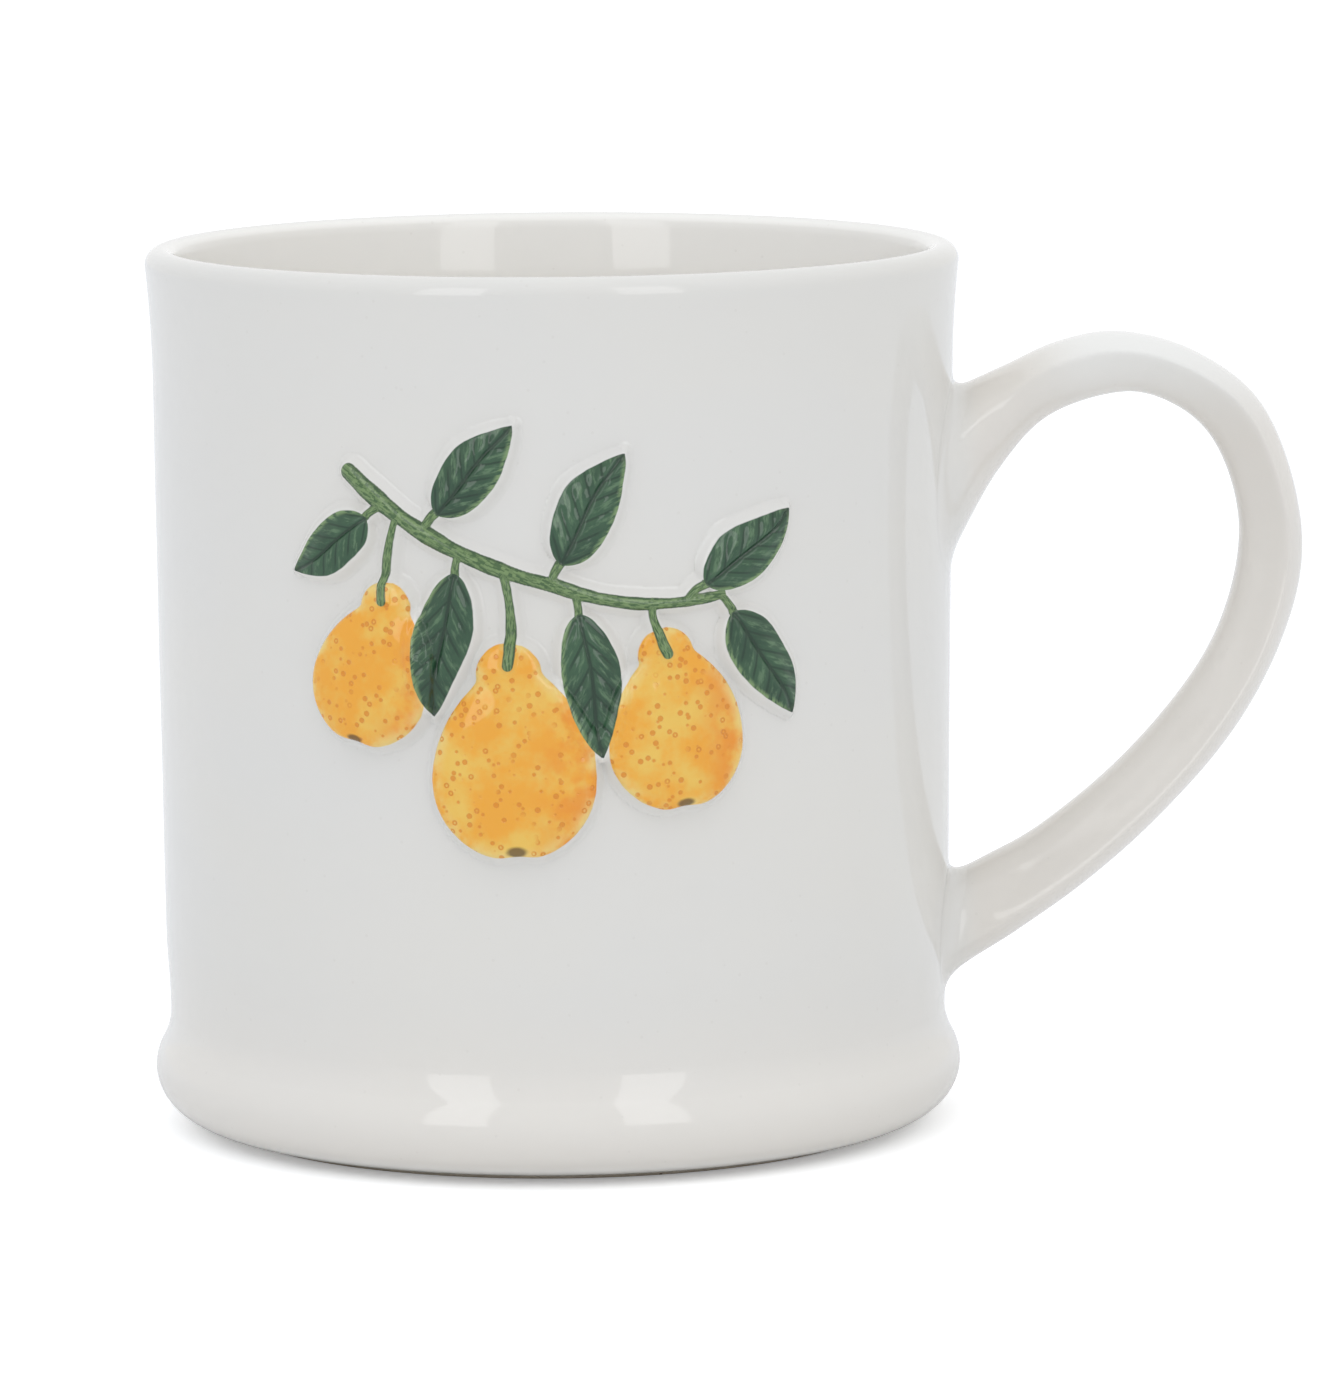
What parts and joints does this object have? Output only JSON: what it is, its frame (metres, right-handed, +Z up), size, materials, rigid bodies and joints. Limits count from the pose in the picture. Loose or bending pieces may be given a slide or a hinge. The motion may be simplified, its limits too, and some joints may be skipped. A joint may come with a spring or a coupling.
{
  "type": "stoneware mug",
  "caption": "Glazed stoneware mug with a swelled base band, a looped strap handle and a raised, painted sprig of pears",
  "frame": {"origin": "on the mug's axis, in the plane of the foot ring that the mug stands on", "axes": "+X from the axis towards the handle, -Y towards the raised sprig, +Z up"},
  "size_m": [0.1226, 0.0878, 0.0935],
  "materials": {
    "white_glaze": "gloss cream-white glaze",
    "bare_stoneware": "matt unglazed stoneware",
    "green_underglaze": "gloss, brushed green underglaze",
    "yellow_underglaze": "gloss, brushed and speckled yellow-orange underglaze"
  },
  "bodies": {
    "root": {"cup": "white_glaze", "handle": "white_glaze", "handle_joint_upper": "white_glaze", "handle_joint_lower": "white_glaze", "foot_ring": "bare_stoneware", "branch": "green_underglaze", "leaf_top_left": "green_underglaze", "leaf_top": "green_underglaze", "leaf_top_right": "green_underglaze", "leaf_right": "green_underglaze", "leaf_middle": "green_underglaze", "leaf_inner_left": "green_underglaze", "leaf_left": "green_underglaze", "pear_large": "yellow_underglaze", "pear_right": "yellow_underglaze", "pear_left": "yellow_underglaze"}
  },
  "joints": []
}
